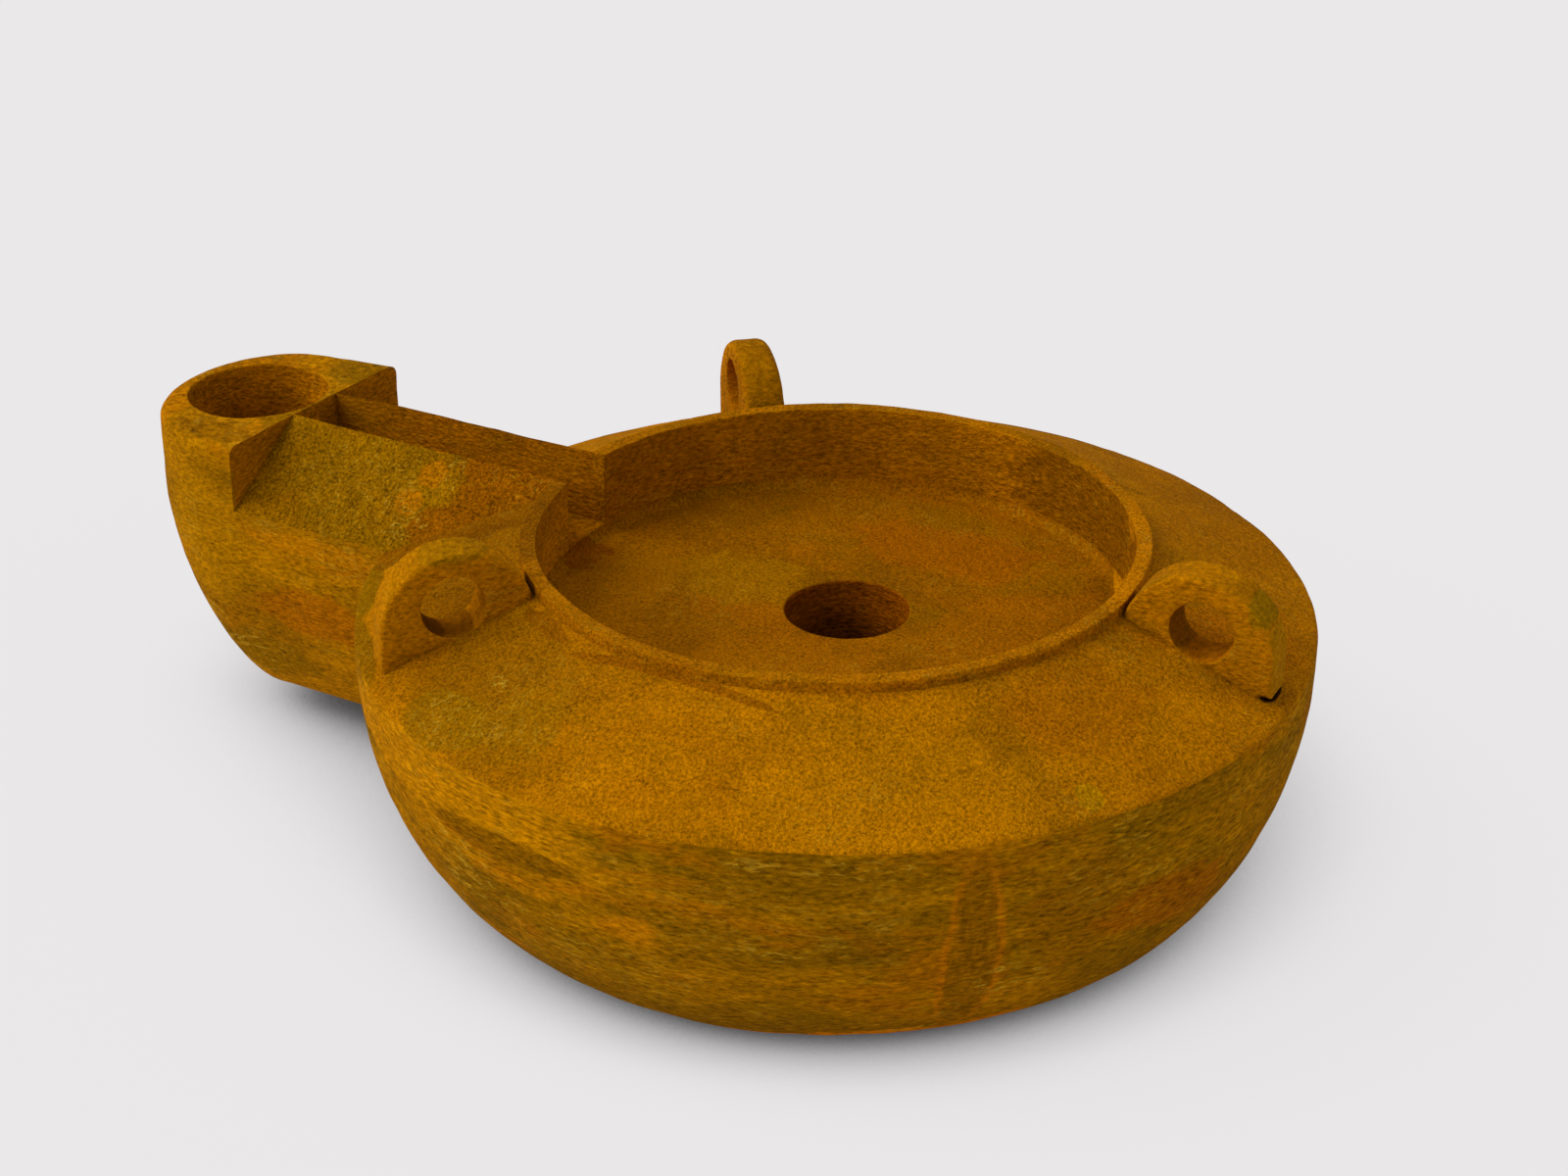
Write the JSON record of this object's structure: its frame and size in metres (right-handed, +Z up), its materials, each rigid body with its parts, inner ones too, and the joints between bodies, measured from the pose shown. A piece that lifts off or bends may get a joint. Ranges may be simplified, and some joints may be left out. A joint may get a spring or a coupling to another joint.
{
  "type": "oil lamp",
  "caption": "Round open-channel oil lamp of moulded clay, with a rimmed discus, a filling hole, a channel to the wick nozzle, and pierced suspension lugs.",
  "frame": {"origin": "on the table, under the middle of the round body, at the centre of the flat base", "axes": "+Z up, -X towards the wick nozzle, +X towards the rear lug"},
  "size_m": [0.1123, 0.0828, 0.0366],
  "materials": {
    "lower_clay": "matt fired clay, ochre with olive and rust patches, fine horizontal scratches",
    "upper_clay": "matt fired clay, warm ochre with a fine pitted grain",
    "discus_clay": "matt fired clay, browner, darker towards the wall",
    "neck_clay": "matt fired clay with a strong olive, lichen-like speckle",
    "lug_clay": "matt fired clay, hand-worked"
  },
  "bodies": {
    "root": {"base_disc": "lower_clay", "bowl_wall": "lower_clay", "nozzle_trough": "lower_clay", "shoulder": "upper_clay", "discus_rim": "upper_clay", "nozzle_head": "upper_clay", "discus_floor": "discus_clay", "channel_floor": "discus_clay", "neck_left": "neck_clay", "neck_right": "neck_clay", "lug_left": "lug_clay", "lug_right": "lug_clay", "lug_rear": "lug_clay"}
  },
  "joints": []
}
